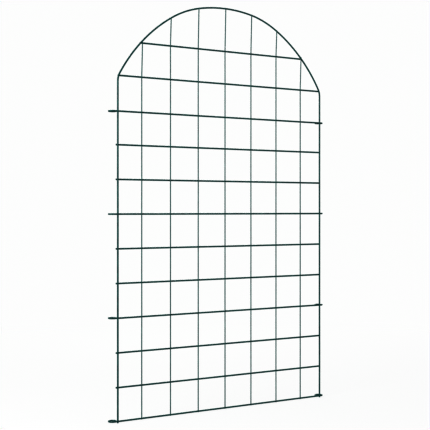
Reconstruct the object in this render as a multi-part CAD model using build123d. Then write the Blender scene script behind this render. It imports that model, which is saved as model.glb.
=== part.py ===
from build123d import *
import os
from collections import namedtuple
from math import asin, atan2, cos, degrees, radians, sin, sqrt, tan

# Arched garden trellis panel: a welded mesh of round coated steel wires, in millimetres.
# One bent wire makes both uprights and the arch. Horizontal wires lie behind it, and some of
# them are curled into post eyelets at both ends. Thinner upright wires fill the middle, and
# their tops spring forward onto the front of the arch.
# +X runs along the panel, +Y towards its back, +Z up. The origin is the middle of the panel's
# box, at the height of the cut feet of the uprights.

# Wires, measured over their coating
FRAME_WIRE_D = 4.5  # hoop and horizontal wires
INFILL_WIRE_D = 2.6  # thin upright wires
WELD_SINK = 0.4  # how far two crossing wires are pressed into each other

# Mesh
CELL = 100.0  # pitch of the mesh, both ways
GRID_BASE = 1.5  # height of the grid's lowest line above the feet
ROW_COUNT = 12  # the top row lies inside the arch, the one below it where the arch springs
INFILL_COUNT = 7
EYELET_ROW_STEP = 3  # every third row ends in eyelets, up to the spring of the arch
BOTTOM_ROW_LIFT = 2.5  # the bottom row sits this far above its grid line
TOP_EYELET_ROW_DROP = 3.0  # the highest eyelet row sits this far below its grid line
ROW_STUB = 4.0  # a plain row runs this far past the axis of the upright
ARCH_ROW_STUB = 0.6  # the two top rows run only this far past the axis of the hoop
INFILL_FOOT_DROP = 1.5  # the thin wires end this far below the bottom row's axis
INFILL_TOP_STUB = 1.3  # and this far above the axis of the arch

# Hoop: crown, shoulder, side and spring bend are tangent arcs, angles in degrees
UPRIGHT_X = 381.2  # from the middle of the panel to the axis of an upright
ARCH_TOP = 1232.5  # height of the hoop's axis at the crown
CROWN_RADIUS = 503.0
CROWN_HALF_SWEEP = 10.6
SHOULDER_RADIUS = 324.0
SHOULDER_SWEEP = 19.2
SIDE_RADIUS = 498.0
SPRING_BEND_RADIUS = 46.0

# Eyelets
POST_PITCH = 780.0  # between the axes of the two posts
EYELET_BORE = 17.4
EYELET_SWEEP = 305.0  # degrees of a full turn, which leaves a small gap at the wire's end

# Thin wires lean forward above the last row that they are welded to
LEAN_BEND_RADIUS = 150.0
ARCH_CLEARANCE = 20.0  # a row closer than this below the arch isn't welded to a thin wire

# Welds: a small bead squeezed out around each contact
FRAME_BEAD_D = 5.2
INFILL_BEAD_D = 4.0

# Derived sizes
EYELET_RADIUS = (EYELET_BORE + FRAME_WIRE_D) / 2
HOOP_STEP = FRAME_WIRE_D - WELD_SINK  # from a row's axis forward to the hoop's
INFILL_STEP = (FRAME_WIRE_D + INFILL_WIRE_D) / 2 - WELD_SINK  # and to a thin wire's
INFILL_XS = [(index - (INFILL_COUNT - 1) / 2) * CELL for index in range(INFILL_COUNT)]
ARCH_ROW = ROW_COUNT - 1
SPRING_ROW = ARCH_ROW - 1
EYELET_ROWS = range(0, SPRING_ROW, EYELET_ROW_STEP)

# An arc of the hoop's right half. Angles are in degrees from straight up, clockwise.
HoopArc = namedtuple("HoopArc", "x z radius start end")


def arc_point(arc, angle):
    """Point of a hoop arc at an angle from straight up, as x and z."""
    return arc.x + arc.radius * sin(radians(angle)), arc.z + arc.radius * cos(radians(angle))


def following_arc(arc, radius, end):
    """Arc of another radius that leaves the end of a hoop arc smoothly."""
    shift = arc.radius - radius
    x = arc.x + shift * sin(radians(arc.end))
    z = arc.z + shift * cos(radians(arc.end))
    return HoopArc(x, z, radius, arc.end, end)


def hoop_arcs():
    """Right half of the arch from its crown down to the straight upright."""
    crown = HoopArc(0, ARCH_TOP - CROWN_RADIUS, CROWN_RADIUS, 0, CROWN_HALF_SWEEP)
    shoulder = following_arc(crown, SHOULDER_RADIUS, CROWN_HALF_SWEEP + SHOULDER_SWEEP)
    side = following_arc(shoulder, SIDE_RADIUS, shoulder.end)
    bend_x = UPRIGHT_X - SPRING_BEND_RADIUS
    side_end = degrees(asin((bend_x - side.x) / (SIDE_RADIUS - SPRING_BEND_RADIUS)))
    side = side._replace(end=side_end)
    return [crown, shoulder, side, following_arc(side, SPRING_BEND_RADIUS, 90)]


def arch_height(x):
    """Height of the hoop's axis at a distance from the middle of the panel."""
    for arc in HOOP_ARCS:
        if abs(x) <= arc_point(arc, arc.end)[0]:
            return arc.z + sqrt(arc.radius**2 - (abs(x) - arc.x) ** 2)


def hoop_half_width(z):
    """Distance from the middle of the panel to the hoop's axis at a height."""
    for arc in HOOP_ARCS:
        if z >= arc_point(arc, arc.end)[1]:
            return arc.x + sqrt(arc.radius**2 - (z - arc.z) ** 2)
    return UPRIGHT_X


def row_height(row):
    """Height of a row's axis."""
    height = GRID_BASE + row * CELL
    if row == 0:
        height += BOTTOM_ROW_LIFT
    if row == EYELET_ROWS[-1]:
        height -= TOP_EYELET_ROW_DROP
    return height


def last_row(x):
    """Highest row that the thin wire at x is welded to."""
    reaches_arch_row = arch_height(x) - row_height(ARCH_ROW) > ARCH_CLEARANCE
    return ARCH_ROW if reaches_arch_row else SPRING_ROW


def lean_angle(x):
    """Angle in radians at which the top of the thin wire at x leans forward."""
    return atan2(HOOP_STEP, arch_height(x) - row_height(last_row(x)))


def infill_top(x):
    """Height of the end of the thin wire at x, and how far forward it leans there."""
    height = arch_height(x) + INFILL_TOP_STUB
    return height, (height - row_height(last_row(x))) * tan(lean_angle(x))


def wire(edges, diameter):
    """Solid round wire along joined edges."""
    path = Wire(edges)
    return sweep(Plane(path @ 0, z_dir=path % 0) * Circle(diameter / 2), path=path)


def hoop_wire():
    """Both uprights and the arch, bent from one wire."""
    front_view = Plane((0, HOOP_Y, 0), x_dir=(1, 0, 0), z_dir=(0, -1, 0))
    spring_z = HOOP_ARCS[-1].z
    edges = []
    for side in (-1, 1):
        edges.append(Line((side * UPRIGHT_X, 0), (side * UPRIGHT_X, spring_z)))
        for arc in HOOP_ARCS:
            first_angle = 90 - side * arc.start
            sweep_angle = -side * (arc.end - arc.start)
            edges.append(CenterArc((side * arc.x, arc.z), arc.radius, first_angle, sweep_angle))
    return wire([front_view * edge for edge in edges], FRAME_WIRE_D)


def straight_row(half_length, z):
    """Horizontal wire cut straight at both ends."""
    return wire([Line((-half_length, ROW_Y, z), (half_length, ROW_Y, z))], FRAME_WIRE_D)


def eyelet_row(z):
    """Horizontal wire with both ends curled backwards into post eyelets."""
    post_x = POST_PITCH / 2
    centre_y = ROW_Y + EYELET_RADIUS
    left = CenterArc((-post_x, centre_y, z), EYELET_RADIUS, -90, -EYELET_SWEEP)
    run = Line((-post_x, ROW_Y, z), (post_x, ROW_Y, z))
    right = CenterArc((post_x, centre_y, z), EYELET_RADIUS, -90, EYELET_SWEEP)
    return wire([left, run, right], FRAME_WIRE_D)


def infill_wire(x):
    """Thin upright wire, with its top sprung forward onto the front of the arch."""
    lean = lean_angle(x)
    top_z, lean_y = infill_top(x)
    foot_z = row_height(0) - INFILL_FOOT_DROP
    bend_z = row_height(last_row(x)) - LEAN_BEND_RADIUS * tan(lean / 2)
    side_view = Plane((x, 0, 0), x_dir=(0, 1, 0), z_dir=(1, 0, 0))
    straight = Line((INFILL_Y, foot_z), (INFILL_Y, bend_z))
    bend = JernArc(straight @ 1, (0, 1), LEAN_BEND_RADIUS, degrees(lean))
    leaning = Line(bend @ 1, (INFILL_Y - lean_y, top_z))
    return wire([side_view * edge for edge in (straight, bend, leaning)], INFILL_WIRE_D)


def row_wire(row):
    """Horizontal wire of a row, before the other wires are pressed into it."""
    z = row_height(row)
    if row in EYELET_ROWS:
        return eyelet_row(z)
    if row >= SPRING_ROW:
        return straight_row(hoop_half_width(z) + ARCH_ROW_STUB, z)
    return straight_row(UPRIGHT_X + ROW_STUB, z)


def row_name(row):
    """Node name of a row's wire."""
    if row in EYELET_ROWS:
        return f"eyelet_wire_row_{row:02d}"
    if row == ARCH_ROW:
        return f"arch_cross_wire_row_{row:02d}"
    return f"cross_wire_row_{row:02d}"


def bead(x, axis_y, z, diameter):
    """Ball of weld metal at the front of a frame wire whose axis is at axis_y."""
    return Pos(x, axis_y - (FRAME_WIRE_D - WELD_SINK) / 2, z) * Sphere(diameter / 2)


def row_welds(row, row_solid):
    """Beads at every crossing of a row, shaped by the two wires that each one joins."""
    z = row_height(row)
    left_weld = bead(-hoop_half_width(z), ROW_Y, z, FRAME_BEAD_D) - row_solid - hoop
    welds = [left_weld, mirror(left_weld, about=Plane.YZ)]
    for x in INFILL_XS:
        if row <= last_row(x):
            welds.append(bead(x, ROW_Y, z, INFILL_BEAD_D) - row_solid - infill[x])
    return welds


def arch_welds():
    """Beads where the thin wires end on the arch."""
    return [bead(x, HOOP_Y, arch_height(x), INFILL_BEAD_D) - hoop - infill[x] for x in INFILL_XS]


def pressed(solid, others):
    """A wire with the dents that the wires crossing it have pressed into it."""
    for other in others:
        solid = solid - other
    return solid


def save(shapes, name):
    """Write one node from one or more solids."""
    node = Compound(children=[solid for shape in shapes for solid in shape.solids()])
    node.label = name
    export_step(node, f"parts/{name}.step")


HOOP_ARCS = hoop_arcs()

# The panel's box runs from the front of the leaning tops to the back of the eyelets, and its
# middle is at Y 0.
TOP_REACHES = [infill_top(x)[1] + INFILL_WIRE_D / 2 * cos(lean_angle(x)) for x in INFILL_XS]
FRONT_REACH = INFILL_STEP + max(TOP_REACHES)
BACK_REACH = 2 * EYELET_RADIUS + FRAME_WIRE_D / 2
ROW_Y = (FRONT_REACH - BACK_REACH) / 2
HOOP_Y = ROW_Y - HOOP_STEP
INFILL_Y = ROW_Y - INFILL_STEP

os.makedirs("parts", exist_ok=True)

infill = {x: infill_wire(x) for x in INFILL_XS}
hoop = hoop_wire()
save([pressed(hoop, infill.values())], "hoop_wire")
for number, x in enumerate(INFILL_XS, start=1):
    save([infill[x]], f"infill_wire_{number}")
for row in range(ROW_COUNT):
    row_solid = row_wire(row)
    save([pressed(row_solid, [hoop, *infill.values()])], row_name(row))
    save(row_welds(row, row_solid), f"welds_row_{row:02d}")
save(arch_welds(), "welds_arch")
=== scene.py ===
import math
from collections import namedtuple

import bmesh
import bpy
import numpy as np
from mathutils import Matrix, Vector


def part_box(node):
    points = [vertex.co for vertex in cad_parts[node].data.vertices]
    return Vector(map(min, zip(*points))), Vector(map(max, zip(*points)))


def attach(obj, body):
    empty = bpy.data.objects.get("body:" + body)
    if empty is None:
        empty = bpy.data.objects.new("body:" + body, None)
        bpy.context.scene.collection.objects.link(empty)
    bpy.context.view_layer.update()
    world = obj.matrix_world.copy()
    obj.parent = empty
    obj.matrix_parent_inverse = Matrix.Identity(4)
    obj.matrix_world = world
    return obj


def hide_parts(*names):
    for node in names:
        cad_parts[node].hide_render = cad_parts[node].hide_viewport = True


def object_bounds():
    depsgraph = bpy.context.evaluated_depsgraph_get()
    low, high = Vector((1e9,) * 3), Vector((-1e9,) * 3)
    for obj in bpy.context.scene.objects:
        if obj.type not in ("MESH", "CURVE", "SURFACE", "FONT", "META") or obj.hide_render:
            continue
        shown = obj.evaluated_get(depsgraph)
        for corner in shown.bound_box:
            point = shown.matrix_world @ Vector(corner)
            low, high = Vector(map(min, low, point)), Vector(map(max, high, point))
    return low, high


# Looks of an arched garden trellis panel of welded, coated steel wire. Everything is in metres,
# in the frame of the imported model: +X along the panel, +Y towards its back, +Z up.

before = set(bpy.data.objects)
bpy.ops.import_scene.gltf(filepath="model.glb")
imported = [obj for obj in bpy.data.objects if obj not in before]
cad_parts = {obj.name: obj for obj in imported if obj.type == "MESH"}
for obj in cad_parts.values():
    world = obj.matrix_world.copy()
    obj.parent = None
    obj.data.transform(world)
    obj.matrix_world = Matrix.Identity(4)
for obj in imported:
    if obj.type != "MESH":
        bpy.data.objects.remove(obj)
cad_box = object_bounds()

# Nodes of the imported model
ROW_NODES = sorted((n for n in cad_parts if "_row_" in n and "wire" in n), key=lambda n: n[-2:])
WELD_NODES = [f"welds_row_{node[-2:]}" for node in ROW_NODES]
INFILL_NODES = sorted(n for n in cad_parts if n.startswith("infill_wire"))
ARCH_ROW_NODE = ROW_NODES[-1]
SPRING_ROW_NODE = ROW_NODES[-2]

# Hoop: crown, shoulder, side and spring bend are tangent arcs, angles in degrees
CROWN_RADIUS = 0.503
CROWN_HALF_SWEEP = 10.6
SHOULDER_RADIUS = 0.324
SHOULDER_SWEEP = 19.2
SIDE_RADIUS = 0.498
SPRING_BEND_RADIUS = 0.046

# Eyelets and thin wires
EYELET_SWEEP = 305.0
LEAN_BEND_RADIUS = 0.15
WELD_SINK = 0.0004  # how far two crossing wires are pressed into each other

# Surface of a coated wire
FRAME_SIDES = 32
INFILL_SIDES = 24
STRAIGHT_STEP = 0.008
ARC_STEP = 0.005
EYELET_STEP = math.radians(5)
END_ROUND = 0.0007  # the coat rounds the rim of a cut end
END_RINGS = 5
SWAY = 0.00006  # a drawn wire is never dead straight
SIDE_SWAY_LENGTHS = (0.23, 0.41)
ACROSS_SWAY_LENGTHS = (0.19, 0.37)
COAT_WAVE = 0.00004  # and its coat varies in thickness
COAT_WAVE_LENGTHS = (0.011, 0.027, 0.06)
END_CALM = 0.03  # both die away over this length at an end
LEAN_POINTS = 5
CLEAR_OF_ROW = 0.0225  # a row closer than this below a thin wire's top isn't welded to it

# Welds
FRAME_FILLET = 0.0017
INFILL_FILLET = 0.0012
FRAME_WELD_REACH = 0.0036
INFILL_WELD_REACH = 0.0027
WELD_SHRINK = 0.00008  # keeps a weld just under the wires' surface where it fades out
WELD_MARCH_STEPS = 40
WELD_SUBDIVISIONS = 4

FILLET_VARIATION = 0.2
RIPPLE_DEPTH = 0.03
RIPPLE_RATE = 7
RIPPLE_PHASE = 6
CROSSING_HALF = 0.01  # half of the stretch of wire looked at round a crossing

SEED = 7

# Coat. Scales are features per metre, colours are linear.
CLOUD_SCALE = 60.0
PEEL_SCALE = 800.0
GRAIN_SCALE = 2600.0
PEEL_DEPTH = 0.00015
PEEL_STRENGTH = 0.6
PIT_DEPTH = 0.00006
SPECULAR = 0.4
GLOSS_RANGE = (-0.06, 0.08)  # added to a coat's roughness across the clouds
CLOUD_RANGE = (0.3, 0.7)
CLOUD_STOPS = (0.3, 0.5, 0.72)  # where the clouds are dark, middling and light
SPECK_RANGE = (0.62, 0.7)
SPECK_SHARE = 0.35
WEAR_RANGE = (0.5, 0.62)
WEAR_SHARE = 0.75
PALE_SPECK = (0.05, 0.09, 0.075)
BARE_ZINC = (0.30, 0.31, 0.31)
COAT_DARK = (0.0052, 0.056, 0.053)
COAT_MID = (0.0088, 0.078, 0.072)
COAT_LIGHT = (0.0150, 0.108, 0.095)
WIRE_ROUGHNESS = 0.34
WIRE_PITTING = 0.4
WELD_ROUGHNESS = 0.42
WELD_PITTING = 0.6

# Floor and surroundings
FLOOR_RADIUS = 9.0
FLOOR_VERTICES = 128
FLOOR_SOLID = 0.8  # from here out the floor turns into the background
FLOOR_FADE = 2.5
FLOOR_GAP = 0.0003
FLOOR_COLOUR = (0.06, 0.06, 0.06)
FLOOR_GLOW = 0.903
BACKGROUND = (0.993, 0.993, 0.993)
AMBIENT = (0.85, 0.85, 0.85)
TONE_GAMMA = 0.425  # deep, contrasty darks on white, as in a catalogue picture

# Softboxes: name, place, side and watts
LIGHTS = (
    ("key", (-3.3, -1.2, 1.5), 1.4, 150),
    ("fill", (1.6, -3.0, 1.0), 1.8, 30),
    ("back", (1.4, 2.6, 2.0), 1.6, 45),
)

# Camera
CAMERA_AZIMUTH = 35.85  # to the left of the panel's front, in degrees
CAMERA_DISTANCE = 3.4416
CAMERA_HEIGHT = 0.6141
LENS = 93.63
SENSOR = 36.0
SHIFT_X = -0.0233
SHIFT_Y = -0.0123

Line = namedtuple("Line", "start end radius")
HoopArc = namedtuple("HoopArc", "x z radius start end")


def wire_radius(node, axis):
    """Radius of a straight wire, from the size of its node across it."""
    low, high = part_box(node)
    return (high[axis] - low[axis]) / 2


FRAME_R = wire_radius(SPRING_ROW_NODE, 2)
INFILL_R = wire_radius(INFILL_NODES[0], 0)


# The hoop's geometry

def following_arc(arc, radius, end):
    """Arc of another radius that leaves the end of a hoop arc smoothly."""
    shift = arc.radius - radius
    angle = math.radians(arc.end)
    x = arc.x + shift * math.sin(angle)
    z = arc.z + shift * math.cos(angle)
    return HoopArc(x, z, radius, arc.end, end)


def hoop_arcs():
    """Right half of the arch, crown to upright. Angles run clockwise from straight up."""
    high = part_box("hoop_wire")[1]
    upright_x = high.x - FRAME_R
    crown = HoopArc(0, high.z - FRAME_R - CROWN_RADIUS, CROWN_RADIUS, 0, CROWN_HALF_SWEEP)
    shoulder = following_arc(crown, SHOULDER_RADIUS, CROWN_HALF_SWEEP + SHOULDER_SWEEP)
    side = following_arc(shoulder, SIDE_RADIUS, shoulder.end)
    bend_x = upright_x - SPRING_BEND_RADIUS
    side_end = math.degrees(math.asin((bend_x - side.x) / (SIDE_RADIUS - SPRING_BEND_RADIUS)))
    side = side._replace(end=side_end)
    return [crown, shoulder, side, following_arc(side, SPRING_BEND_RADIUS, 90)]


def arc_point(arc, degrees):
    """Point of a hoop arc at an angle from straight up, as x and z."""
    angle = math.radians(degrees)
    return arc.x + arc.radius * math.sin(angle), arc.z + arc.radius * math.cos(angle)


def hoop_at_height(z):
    """Distance of the hoop's axis from the middle at a height, and its angle there."""
    for arc in ARCS:
        if z >= arc_point(arc, arc.end)[1]:
            angle = math.acos((z - arc.z) / arc.radius)
            return arc.x + arc.radius * math.sin(angle), math.degrees(angle)
    return arc_point(ARCS[-1], 90)[0], 90.0


def hoop_over(x):
    """Height of the hoop's axis above a point of the panel, and its angle there."""
    for arc in ARCS:
        if abs(x) <= arc_point(arc, arc.end)[0]:
            angle = math.asin((abs(x) - arc.x) / arc.radius)
            return arc.z + arc.radius * math.cos(angle), math.degrees(angle)


ARCS = hoop_arcs()


# Centrelines

def straight(start, end):
    """Points along a straight run, without its last one."""
    start, end = np.array(start, float), np.array(end, float)
    count = max(2, math.ceil(np.linalg.norm(end - start) / STRAIGHT_STEP))
    return start + (end - start) * np.arange(count)[:, None] / count


def hoop_path():
    """Centreline of the hoop, from the left foot over the crown to the right foot."""
    low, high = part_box("hoop_wire")
    y = (low.y + high.y) / 2
    upright_x = high.x - FRAME_R
    half = []
    for arc in ARCS:
        span = math.radians(arc.end - arc.start)
        count = max(8, math.ceil(arc.radius * span / ARC_STEP))
        for step in range(count):
            x, z = arc_point(arc, arc.start + (arc.end - arc.start) * step / count)
            half.append((x, y, z))
    right = np.array(half)
    spring = (upright_x, y, ARCS[-1].z)
    right = np.vstack([right, straight(spring, (upright_x, y, low.z)), [(upright_x, y, low.z)]])
    left = right[:0:-1] * (-1, 1, 1)
    return np.vstack([left, right])


def eyelet_path(node):
    """Centreline of a horizontal wire whose two ends curl back into post eyelets."""
    low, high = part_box(node)
    z = (low.z + high.z) / 2
    y = low.y + FRAME_R
    curl = (high.y - low.y) / 2 - FRAME_R
    post_x = high.x - FRAME_R - curl
    turn = np.arange(EYELET_STEP / 2, math.radians(EYELET_SWEEP), EYELET_STEP)
    turn = np.append(turn, math.radians(EYELET_SWEEP))
    right = np.stack([post_x + curl * np.sin(turn), y + curl * (1 - np.cos(turn)), np.full(len(turn), z)], 1)
    left = right[::-1] * (-1, 1, 1)
    run = np.vstack([straight((-post_x, y, z), (post_x, y, z)), [(post_x, y, z)]])
    return np.vstack([left, run, right])


def row_path(node):
    """Centreline of a horizontal wire."""
    if node.startswith("eyelet"):
        return eyelet_path(node)
    low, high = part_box(node)
    y, z = (low.y + high.y) / 2, (low.z + high.z) / 2
    return np.vstack([straight((low.x, y, z), (high.x, y, z)), [(high.x, y, z)]])


def infill_path(node):
    """Centreline of a thin upright wire, with its top leaning forward onto the arch."""
    low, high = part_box(node)
    x, y = (low.x + high.x) / 2, high.y - INFILL_R
    bend_z = middle(last_row(node)).z
    lean = math.atan2(y - (low.y + INFILL_R), high.z - bend_z)
    reach = LEAN_BEND_RADIUS * math.tan(lean / 2)
    turn = np.linspace(0, lean, LEAN_POINTS)
    bend_y = y - LEAN_BEND_RADIUS * (1 - np.cos(turn))
    bend = np.stack([np.full(len(turn), x), bend_y, bend_z - reach + LEAN_BEND_RADIUS * np.sin(turn)], 1)
    top = (x, low.y + INFILL_R, high.z)
    return np.vstack([straight((x, y, low.z), bend[0]), bend[:-1], straight(bend[-1], top), [top]])


def middle(node):
    """Middle of a node's box."""
    low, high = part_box(node)
    return (low + high) / 2


def last_row(node):
    """Node of the highest row that a thin wire is welded to."""
    crosses_arch_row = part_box(node)[1].z - middle(ARCH_ROW_NODE).z > CLEAR_OF_ROW
    return ARCH_ROW_NODE if crosses_arch_row else SPRING_ROW_NODE


# Wire meshes

def lengths_along(path):
    """Distance of each point of a path from its start, along it."""
    steps = np.linalg.norm(np.diff(path, axis=0), axis=1)
    return np.concatenate([[0], np.cumsum(steps)])


def slow_wave(along, wavelengths, rng):
    """Smooth random curve along a wire, between about -1 and 1."""
    waves = [np.sin(2 * math.pi * (along / length + rng.random())) for length in wavelengths]
    return sum(waves) / len(waves)


def at_stations(path, stations):
    """Points of a path at distances from its start."""
    along = lengths_along(path)
    return np.stack([np.interp(stations, along, path[:, axis]) for axis in range(3)], 1)


def wire_mesh(name, path, across, radius, sides, rng):
    """Coated round wire along a path in a plane whose normal is across, with rounded cut ends."""
    along = lengths_along(path)
    total = along[-1]
    turn = np.linspace(0, math.pi / 2, END_RINGS)
    end_distance = END_ROUND * (1 - np.cos(turn))
    end_inset = END_ROUND * (1 - np.sin(turn))
    body = along[(along > 2 * END_ROUND) & (along < total - 2 * END_ROUND)]
    stations = np.concatenate([end_distance, body, (total - end_distance)[::-1]])
    inset = np.concatenate([end_inset, np.zeros(len(body)), end_inset[::-1]])
    points = at_stations(path, stations)
    ahead = at_stations(path, np.minimum(stations + END_ROUND, total))
    behind = at_stations(path, np.maximum(stations - END_ROUND, 0))
    tangent = ahead - behind
    tangent /= np.linalg.norm(tangent, axis=1)[:, None]
    across = np.array(across, float)
    side = np.cross(across, tangent)
    fade = np.clip(np.minimum(stations, total - stations) / END_CALM, 0, 1)
    points = points + side * (SWAY * fade * slow_wave(stations, SIDE_SWAY_LENGTHS, rng))[:, None]
    points = points + across * (SWAY * fade * slow_wave(stations, ACROSS_SWAY_LENGTHS, rng))[:, None]
    thickness = COAT_WAVE * fade * slow_wave(stations, COAT_WAVE_LENGTHS, rng)
    ring_radius = radius - inset + thickness
    angles = 2 * math.pi * np.arange(sides) / sides
    circle = np.cos(angles)[None, :, None] * side[:, None, :] + np.sin(angles)[None, :, None] * across
    verts = (points[:, None, :] + circle * ring_radius[:, None, None]).reshape(-1, 3)
    rings = len(stations)
    faces = []
    for ring in range(rings - 1):
        low, high = ring * sides, (ring + 1) * sides
        for i in range(sides):
            j = (i + 1) % sides
            faces.append((low + i, low + j, high + j, high + i))
    first, last = len(verts), len(verts) + 1
    verts = np.vstack([verts, points[0], points[-1]])
    top = (rings - 1) * sides
    for i in range(sides):
        j = (i + 1) % sides
        faces.append((first, j, i))
        faces.append((last, top + i, top + j))
    end_gap = np.minimum(stations, total - stations)
    wear = np.repeat(np.clip(1 - end_gap / (2 * END_ROUND), 0, 1), sides)
    return new_mesh(name, verts, faces, np.append(wear, [1, 1]))


def new_mesh(name, verts, faces, wear):
    """Smooth mesh object with outward normals and how bare its coat is worn at each point."""
    mesh = bpy.data.meshes.new(name)
    mesh.from_pydata([tuple(v) for v in verts], [], faces)
    attribute = mesh.attributes.new("wear", "FLOAT", "POINT")
    attribute.data.foreach_set("value", np.array(wear, np.float32))
    shape = bmesh.new()
    shape.from_mesh(mesh)
    bmesh.ops.recalc_face_normals(shape, faces=shape.faces)
    shape.to_mesh(mesh)
    shape.free()
    mesh.shade_smooth()
    piece = bpy.data.objects.new(name, mesh)
    bpy.context.scene.collection.objects.link(piece)
    return piece


# Welds

def distance_to(line, points):
    """Distance from a wire's surface, negative inside it."""
    start, end = np.array(line.start), np.array(line.end)
    run = end - start
    share = np.clip((points - start) @ run / (run @ run), 0, 1)
    nearest = start + share[..., None] * run
    return np.linalg.norm(points - nearest, axis=-1) - line.radius


def joined_distance(first, second, fillet, points):
    """Distance from two wires whose crossing is filled by a soft fillet."""
    a, b = distance_to(first, points), distance_to(second, points)
    blend = np.maximum(fillet - np.abs(a - b), 0) / fillet
    return np.minimum(a, b) - blend**2 * fillet / 4


def ball(subdivisions):
    """Points and faces of a unit ball."""
    shape = bmesh.new()
    bmesh.ops.create_icosphere(shape, subdivisions=subdivisions, radius=1)
    points = np.array([v.co[:] for v in shape.verts])
    faces = [[v.index for v in f.verts] for f in shape.faces]
    shape.free()
    return points, faces


BALL_POINTS, BALL_FACES = ball(WELD_SUBDIVISIONS)


def weld_shell(contact, first, second, fillet, reach, rng):
    """Points of one weld: a ball round the contact, drawn in to the filled surface of the two wires."""
    fillet = fillet * rng.uniform(1 - FILLET_VARIATION, 1 + FILLET_VARIATION)
    steps = np.linspace(0, reach, WELD_MARCH_STEPS)
    rays = contact + BALL_POINTS[:, None, :] * steps[None, :, None]
    gap = joined_distance(first, second, fillet, rays) + WELD_SHRINK
    outside = gap > 0
    outside[:, -1] = True
    hit = outside.argmax(axis=1)
    index = np.arange(len(hit))
    before, after = gap[index, hit - 1], gap[index, hit]
    share = np.where(after > before, np.clip(-before / np.maximum(after - before, 1e-9), 0, 1), 1)
    radius = steps[hit - 1] + share * (steps[hit] - steps[hit - 1])
    rate = rng.uniform(-RIPPLE_RATE, RIPPLE_RATE, 3)
    ripple = 1 + RIPPLE_DEPTH * np.sin(BALL_POINTS @ rate + rng.uniform(0, RIPPLE_PHASE))
    return contact + BALL_POINTS * (radius * ripple)[:, None]


def weld_mesh(name, shells):
    """One mesh object from the shells of several welds."""
    count = len(BALL_POINTS)
    faces = [[i + k * count for i in face] for k in range(len(shells)) for face in BALL_FACES]
    return new_mesh(name, np.vstack(shells), faces, np.zeros(count * len(shells)))


def row_line(node):
    """A row's wire as a straight line whose ends are rounded off."""
    low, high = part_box(node)
    y, z = low.y + FRAME_R, (low.z + high.z) / 2
    return Line((low.x + FRAME_R, y, z), (high.x - FRAME_R, y, z), FRAME_R)


def hoop_line(x, z, degrees):
    """The hoop near a point of its axis, as a straight line."""
    side = 1 if x > 0 else -1
    angle = math.radians(degrees)
    y = middle("hoop_wire").y
    run = np.array([side * math.cos(angle), 0, -math.sin(angle)]) * CROSSING_HALF
    point = np.array([x, y, z])
    return Line(tuple(point - run), tuple(point + run), FRAME_R)


def infill_line(node, low_z, high_z):
    """A thin wire between two heights, as a straight line."""
    path = infill_path(node)
    ends = [[np.interp(z, path[:, 2], path[:, axis]) for axis in range(3)] for z in (low_z, high_z)]
    return Line(tuple(ends[0]), tuple(ends[1]), INFILL_R)


def row_welds(node, rng):
    """Shells of all welds of a row."""
    row = row_line(node)
    y, z = row.start[1], row.start[2]
    contact_y = y - FRAME_R + WELD_SINK / 2
    hoop_x, angle = hoop_at_height(z)
    shells = []
    for x in (-hoop_x, hoop_x):
        crossing = hoop_line(x, z, angle)
        contact = np.array([x, contact_y, z])
        shells.append(weld_shell(contact, row, crossing, FRAME_FILLET, FRAME_WELD_REACH, rng))
    for thin in INFILL_NODES:
        if z > middle(last_row(thin)).z + FRAME_R:
            continue
        crossing = infill_line(thin, z - CROSSING_HALF, z + CROSSING_HALF)
        contact = np.array([middle(thin).x, contact_y, z])
        shells.append(weld_shell(contact, row, crossing, INFILL_FILLET, INFILL_WELD_REACH, rng))
    return shells


def arch_welds(rng):
    """Shells of the welds between the thin wires' tops and the arch."""
    shells = []
    for thin in INFILL_NODES:
        x = middle(thin).x
        z, angle = hoop_over(x)
        hoop = hoop_line(x, z, angle)
        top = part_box(thin)[1].z
        crossing = infill_line(thin, z - CROSSING_HALF, top - INFILL_R / 2)
        contact = np.array([x, middle("hoop_wire").y - FRAME_R + WELD_SINK / 2, z])
        shells.append(weld_shell(contact, hoop, crossing, INFILL_FILLET, INFILL_WELD_REACH, rng))
    return shells


# Materials

def add_node(tree, kind, **settings):
    """New shader node with its inputs and properties set by name."""
    made = tree.nodes.new(kind)
    for key, value in settings.items():
        if hasattr(made, key):
            setattr(made, key, value)
        else:
            made.inputs[key.replace("_", " ")].default_value = value
    return made


def noise(tree, coordinates, scale, detail):
    """Noise in a piece's own coordinates, with its scale in features per metre."""
    made = add_node(tree, "ShaderNodeTexNoise", Scale=scale, Detail=detail)
    tree.links.new(coordinates.outputs["Object"], made.inputs["Vector"])
    return made


def colour_between(tree, factor, stops):
    """Colour ramp driven by a factor. Each stop is its position and its colour."""
    ramp = add_node(tree, "ShaderNodeValToRGB")
    tree.links.new(factor, ramp.inputs["Fac"])
    elements = ramp.color_ramp.elements
    while len(elements) < len(stops):
        elements.new(0.5)
    for element, (position, colour) in zip(elements, stops):
        element.position = position
        element.color = (*colour, 1)
    return ramp.outputs["Color"]


def mixed(tree, factor, first, second):
    """One colour turned into another by a factor."""
    mix = add_node(tree, "ShaderNodeMix", data_type="RGBA")
    tree.links.new(factor, mix.inputs["Factor"])
    for source, socket in ((first, mix.inputs[6]), (second, mix.inputs[7])):
        if isinstance(source, tuple):
            socket.default_value = (*source, 1)
        else:
            tree.links.new(source, socket)
    return mix.outputs[2]


def ranged(tree, factor, low, high, new_low, new_high):
    """A factor moved from one range to another."""
    made = add_node(tree, "ShaderNodeMapRange")
    settings = {"From Min": low, "From Max": high, "To Min": new_low, "To Max": new_high}
    for name, value in settings.items():
        made.inputs[name].default_value = value
    tree.links.new(factor, made.inputs["Value"])
    return made.outputs["Result"]


def bumped(tree, height, distance, strength, below=None):
    """Bump in metres of height, on top of another bump."""
    made = add_node(tree, "ShaderNodeBump", Strength=strength, Distance=distance)
    tree.links.new(height, made.inputs["Height"])
    if below:
        tree.links.new(below, made.inputs["Normal"])
    return made.outputs["Normal"]


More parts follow.
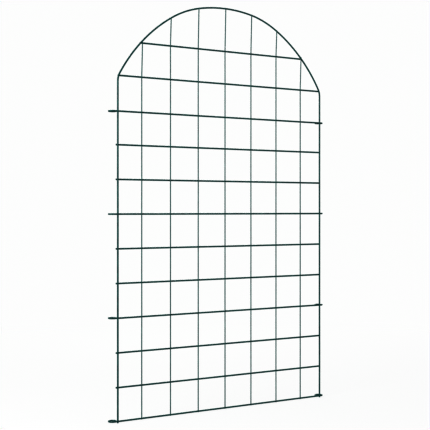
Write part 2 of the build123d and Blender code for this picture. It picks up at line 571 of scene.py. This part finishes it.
def powder_coat(name, dark, mid, light, roughness, pitting):
    """Dark green powder coat: orange peel, fine pits, uneven gloss, thin and dusty patches, bare rims."""
    material = bpy.data.materials.new(name)
    material.use_nodes = True
    tree = material.node_tree
    shader = tree.nodes["Principled BSDF"]
    place = add_node(tree, "ShaderNodeTexCoord")
    cloud = noise(tree, place, CLOUD_SCALE, 3)
    peel = noise(tree, place, PEEL_SCALE, 2)
    grain = noise(tree, place, GRAIN_SCALE, 3)
    coat = colour_between(tree, cloud.outputs["Fac"], tuple(zip(CLOUD_STOPS, (dark, mid, light))))
    speck = ranged(tree, grain.outputs["Fac"], *SPECK_RANGE, 0, SPECK_SHARE)
    coat = mixed(tree, speck, coat, PALE_SPECK)
    wear = add_node(tree, "ShaderNodeAttribute", attribute_name="wear")
    ragged = add_node(tree, "ShaderNodeMath", operation="MULTIPLY")
    tree.links.new(wear.outputs["Fac"], ragged.inputs[0])
    tree.links.new(peel.outputs["Fac"], ragged.inputs[1])
    bare = ranged(tree, ragged.outputs["Value"], *WEAR_RANGE, 0, WEAR_SHARE)
    tree.links.new(mixed(tree, bare, coat, BARE_ZINC), shader.inputs["Base Color"])
    low_gloss, high_gloss = (roughness + change for change in GLOSS_RANGE)
    gloss = ranged(tree, cloud.outputs["Fac"], *CLOUD_RANGE, low_gloss, high_gloss)
    tree.links.new(gloss, shader.inputs["Roughness"])
    tree.links.new(bare, shader.inputs["Metallic"])
    shader.inputs["Specular IOR Level"].default_value = SPECULAR
    pits = bumped(tree, grain.outputs["Fac"], PIT_DEPTH, pitting)
    surface = bumped(tree, peel.outputs["Fac"], PEEL_DEPTH, PEEL_STRENGTH, pits)
    tree.links.new(surface, shader.inputs["Normal"])
    return material


wire_coat = powder_coat("wire_coat", COAT_DARK, COAT_MID, COAT_LIGHT, WIRE_ROUGHNESS, WIRE_PITTING)
weld_coat = powder_coat("weld_coat", COAT_DARK, COAT_MID, COAT_MID, WELD_ROUGHNESS, WELD_PITTING)


# The object

def finish_piece(piece, material, replaced):
    """Gives a piece its finish and its place on the body, and hides the CAD node that it stands for."""
    piece.data.materials.append(material)
    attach(piece, "root")
    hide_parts(replaced)


def build_wire(cad_node, path, across, radius, sides, rng):
    """Coated wire in place of a CAD wire."""
    piece = wire_mesh(f"coated_{cad_node}", path, across, radius, sides, rng)
    finish_piece(piece, wire_coat, cad_node)


def build_welds(cad_node, shells):
    """Filleted welds in place of a group of CAD weld beads."""
    piece = weld_mesh(f"coated_{cad_node}", shells)
    finish_piece(piece, weld_coat, cad_node)


rng = np.random.default_rng(SEED)
build_wire("hoop_wire", hoop_path(), (0, 1, 0), FRAME_R, FRAME_SIDES, rng)
for cad_node in ROW_NODES:
    build_wire(cad_node, row_path(cad_node), (0, 0, 1), FRAME_R, FRAME_SIDES, rng)
for cad_node in INFILL_NODES:
    build_wire(cad_node, infill_path(cad_node), (1, 0, 0), INFILL_R, INFILL_SIDES, rng)
for cad_node, row in zip(WELD_NODES, ROW_NODES):
    build_welds(cad_node, row_welds(row, rng))
build_welds("welds_arch", arch_welds(rng))


# Floor, light and camera

def make_floor():
    """Lit table: a faintly shaded pale floor that turns into the background further out."""
    bpy.ops.mesh.primitive_circle_add(vertices=FLOOR_VERTICES, radius=FLOOR_RADIUS, fill_type="NGON")
    floor = bpy.context.object
    floor.name = "studio_floor"
    floor.location.z = -FLOOR_GAP
    material = bpy.data.materials.new("studio_floor")
    material.use_nodes = True
    tree = material.node_tree
    shader = tree.nodes["Principled BSDF"]
    shader.inputs["Base Color"].default_value = (*FLOOR_COLOUR, 1)
    shader.inputs["Roughness"].default_value = 1.0
    shader.inputs["Specular IOR Level"].default_value = 0.0
    shader.inputs["Emission Color"].default_value = (1, 1, 1, 1)
    shader.inputs["Emission Strength"].default_value = FLOOR_GLOW
    beyond = add_node(tree, "ShaderNodeEmission")
    beyond.inputs["Color"].default_value = (*BACKGROUND, 1)
    place = add_node(tree, "ShaderNodeTexCoord")
    distance = add_node(tree, "ShaderNodeVectorMath", operation="LENGTH")
    tree.links.new(place.outputs["Object"], distance.inputs[0])
    mix = add_node(tree, "ShaderNodeMixShader")
    faded = ranged(tree, distance.outputs["Value"], FLOOR_SOLID, FLOOR_FADE, 0, 1)
    tree.links.new(faded, mix.inputs["Fac"])
    tree.links.new(shader.outputs["BSDF"], mix.inputs[1])
    tree.links.new(beyond.outputs["Emission"], mix.inputs[2])
    tree.links.new(mix.outputs["Shader"], tree.nodes["Material Output"].inputs["Surface"])
    floor.data.materials.append(material)


def make_world():
    """Soft surroundings that light the panel gently and look white behind it."""
    world = bpy.data.worlds.new("studio")
    world.use_nodes = True
    tree = world.node_tree
    seen, lit = tree.nodes["Background"], add_node(tree, "ShaderNodeBackground")
    seen.inputs["Color"].default_value = (*BACKGROUND, 1)
    lit.inputs["Color"].default_value = (*AMBIENT, 1)
    ray, mix = add_node(tree, "ShaderNodeLightPath"), add_node(tree, "ShaderNodeMixShader")
    tree.links.new(ray.outputs["Is Camera Ray"], mix.inputs["Fac"])
    tree.links.new(lit.outputs["Background"], mix.inputs[1])
    tree.links.new(seen.outputs["Background"], mix.inputs[2])
    tree.links.new(mix.outputs["Shader"], tree.nodes["World Output"].inputs["Surface"])
    bpy.context.scene.world = world


def make_light(name, place, size, watts):
    """Square softbox aimed at the middle of the panel."""
    data = bpy.data.lights.new(name, "AREA")
    data.size = size
    data.energy = watts
    light = bpy.data.objects.new(name, data)
    bpy.context.scene.collection.objects.link(light)
    target = (cad_box[0] + cad_box[1]) / 2
    light.location = place
    light.rotation_euler = (target - light.location).to_track_quat("-Z", "Y").to_euler()


def make_camera():
    """Camera level with the middle of the panel, to the left of its front."""
    data = bpy.data.cameras.new("camera")
    data.lens = LENS
    data.sensor_width = SENSOR
    data.shift_x = SHIFT_X
    data.shift_y = SHIFT_Y
    camera = bpy.data.objects.new("camera", data)
    bpy.context.scene.collection.objects.link(camera)
    angle = math.radians(CAMERA_AZIMUTH)
    front_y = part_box(INFILL_NODES[0])[1].y - INFILL_R
    x, y = -CAMERA_DISTANCE * math.sin(angle), front_y - CAMERA_DISTANCE * math.cos(angle)
    camera.location = (x, y, CAMERA_HEIGHT)
    camera.rotation_euler = (math.pi / 2, 0, -angle)
    bpy.context.scene.camera = camera


make_floor()
make_world()
for light_settings in LIGHTS:
    make_light(*light_settings)
make_camera()
bpy.context.scene.view_settings.view_transform = "Standard"
bpy.context.scene.view_settings.gamma = TONE_GAMMA
